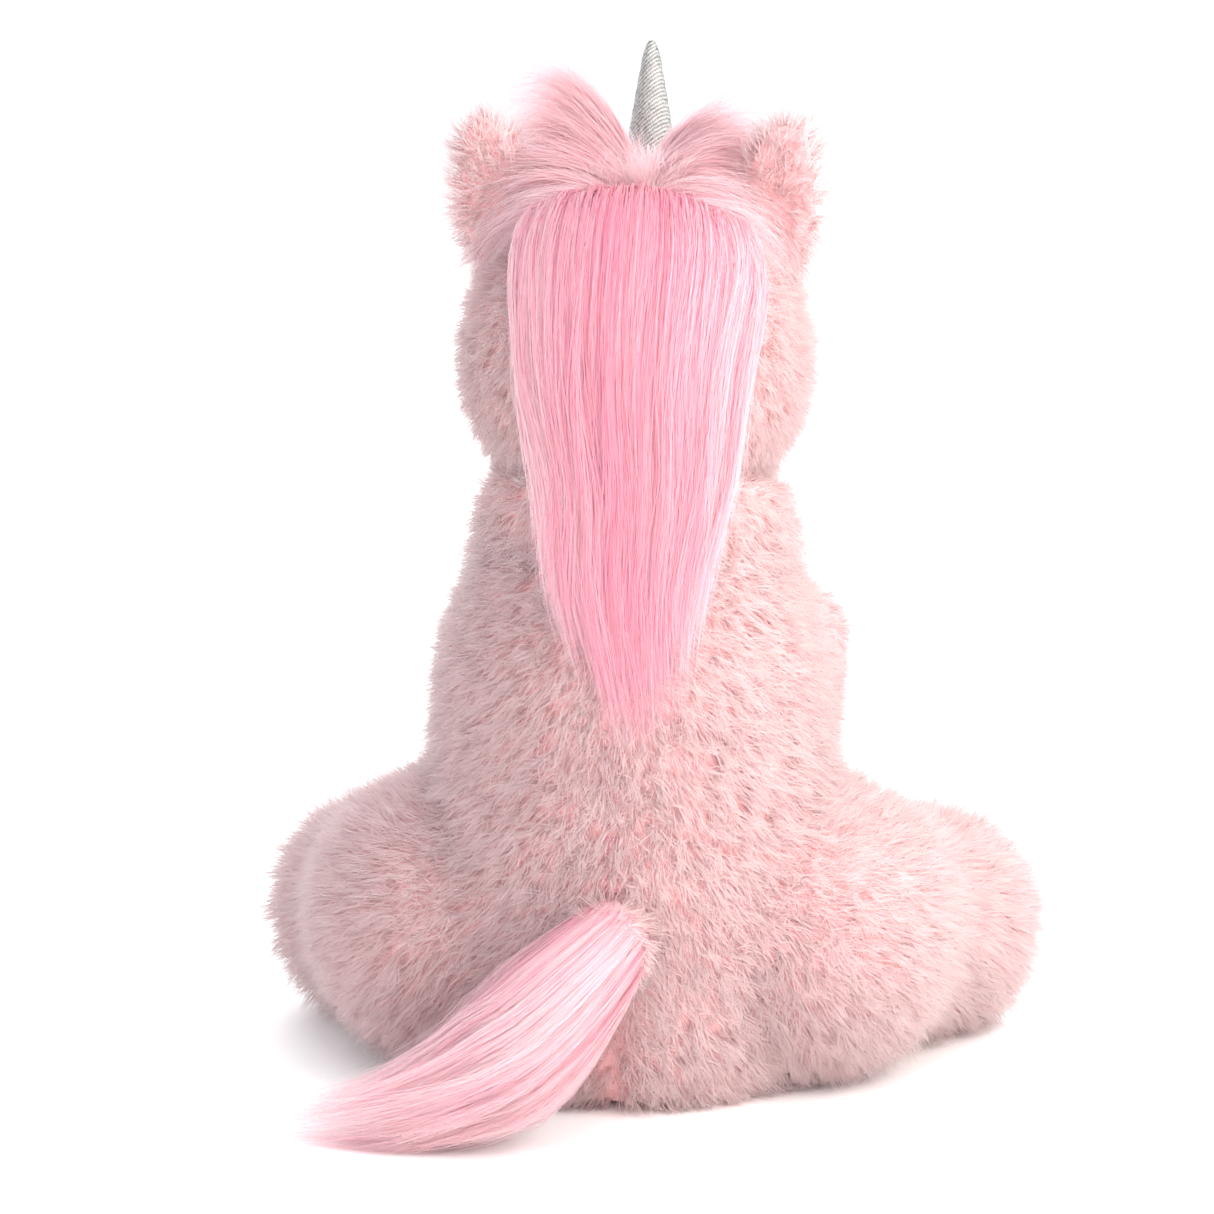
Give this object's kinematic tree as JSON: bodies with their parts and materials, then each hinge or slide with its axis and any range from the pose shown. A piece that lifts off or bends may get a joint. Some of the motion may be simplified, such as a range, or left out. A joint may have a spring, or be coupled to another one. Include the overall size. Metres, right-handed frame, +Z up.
{
  "type": "plush unicorn",
  "caption": "Seated plush unicorn with a long mane, a swept tail and a slim silver horn; its neck, ears, legs and tail move on soft seams.",
  "frame": {"origin": "middle of the flat base panel that the toy sits on", "axes": "+Z up to the horn; the toy looks along -Y, and its own left side is on +X"},
  "size_m": [0.2198, 0.2116, 0.2936],
  "materials": {
    "plush": "matte",
    "long_pile": "satin",
    "silver_cloth": "satin",
    "filling": "matte",
    "pellet_bag": "matte",
    "thread": "satin",
    "eye": "gloss",
    "washer": "matte"
  },
  "bodies": {
    "torso": {"left_back_panel": "plush", "right_back_panel": "plush", "belly_panel": "plush", "seat_panel": "plush", "torso_stuffing": "filling", "seat_pellet_bag": "pellet_bag", "back_seam_thread": "thread"},
    "neck": {"neck_skin": "plush", "neck_stuffing": "filling", "nape_mane": "long_pile"},
    "head": {"left_head_panel": "plush", "right_head_panel": "plush", "muzzle_skin": "plush", "head_stuffing": "filling", "crown_mane": "long_pile", "forelock": "long_pile", "horn_cover": "silver_cloth", "horn_stuffing": "filling", "left_eye": "eye", "right_eye": "eye", "left_eye_washer": "washer", "right_eye_washer": "washer", "nostril_embroidery": "thread", "mouth_embroidery": "thread"},
    "left_ear": {"left_ear_back": "plush", "left_ear_lining": "silver_cloth"},
    "right_ear": {"right_ear_back": "plush", "right_ear_lining": "silver_cloth"},
    "left_front_leg": {"left_front_leg_skin": "plush", "left_front_leg_stuffing": "filling", "left_front_hoof_pad": "silver_cloth"},
    "right_front_leg": {"right_front_leg_skin": "plush", "right_front_leg_stuffing": "filling", "right_front_hoof_pad": "silver_cloth"},
    "left_hind_leg": {"left_hind_leg_skin": "plush", "left_hind_leg_stuffing": "filling", "left_hind_foot_pad": "silver_cloth", "left_hind_pellet_bag": "pellet_bag"},
    "right_hind_leg": {"right_hind_leg_skin": "plush", "right_hind_leg_stuffing": "filling", "right_hind_foot_pad": "silver_cloth", "right_hind_pellet_bag": "pellet_bag"},
    "tail": {"tail_hair": "long_pile", "tail_strip": "plush"}
  },
  "joints": [
    {"name": "neck_turn", "type": "hinge", "parent": "torso", "child": "neck", "pos_m": [0, -0.005, 0.152], "axis": [0, 0, 1], "range_deg": [-25, 25], "stiffness_Nm_per_rad": 0.3},
    {"name": "head_nod", "type": "hinge", "parent": "neck", "child": "head", "pos_m": [0, -0.005, 0.207], "axis": [1, 0, 0], "range_deg": [-12, 10], "stiffness_Nm_per_rad": 0.4},
    {"name": "left_ear_fold", "type": "hinge", "parent": "head", "child": "left_ear", "pos_m": [0.03394, -0.005, 0.24094], "axis": [0.7071, 0, -0.7071], "range_deg": [-20, 40], "stiffness_Nm_per_rad": 0.02},
    {"name": "right_ear_fold", "type": "hinge", "parent": "head", "child": "right_ear", "pos_m": [-0.03394, -0.005, 0.24094], "axis": [0.7071, 0, 0.7071], "range_deg": [-20, 40], "stiffness_Nm_per_rad": 0.02},
    {"name": "left_shoulder", "type": "hinge", "parent": "torso", "child": "left_front_leg", "pos_m": [0.04, -0.026, 0.122], "axis": [-0.9877, 0, 0.1564], "range_deg": [-3, 40]},
    {"name": "right_shoulder", "type": "hinge", "parent": "torso", "child": "right_front_leg", "pos_m": [-0.04, -0.026, 0.122], "axis": [-0.9877, 0, -0.1564], "range_deg": [-3, 40]},
    {"name": "left_hip", "type": "hinge", "parent": "torso", "child": "left_hind_leg", "pos_m": [0.048, 0.002, 0.043], "axis": [-1, 0, 0], "range_deg": [-3, 15]},
    {"name": "right_hip", "type": "hinge", "parent": "torso", "child": "right_hind_leg", "pos_m": [-0.048, 0.002, 0.043], "axis": [-1, 0, 0], "range_deg": [-3, 15]},
    {"name": "tail_swing", "type": "hinge", "parent": "torso", "child": "tail", "pos_m": [0, 0.062, 0.052], "axis": [0, 0, 1], "range_deg": [-8, 50]}
  ]
}
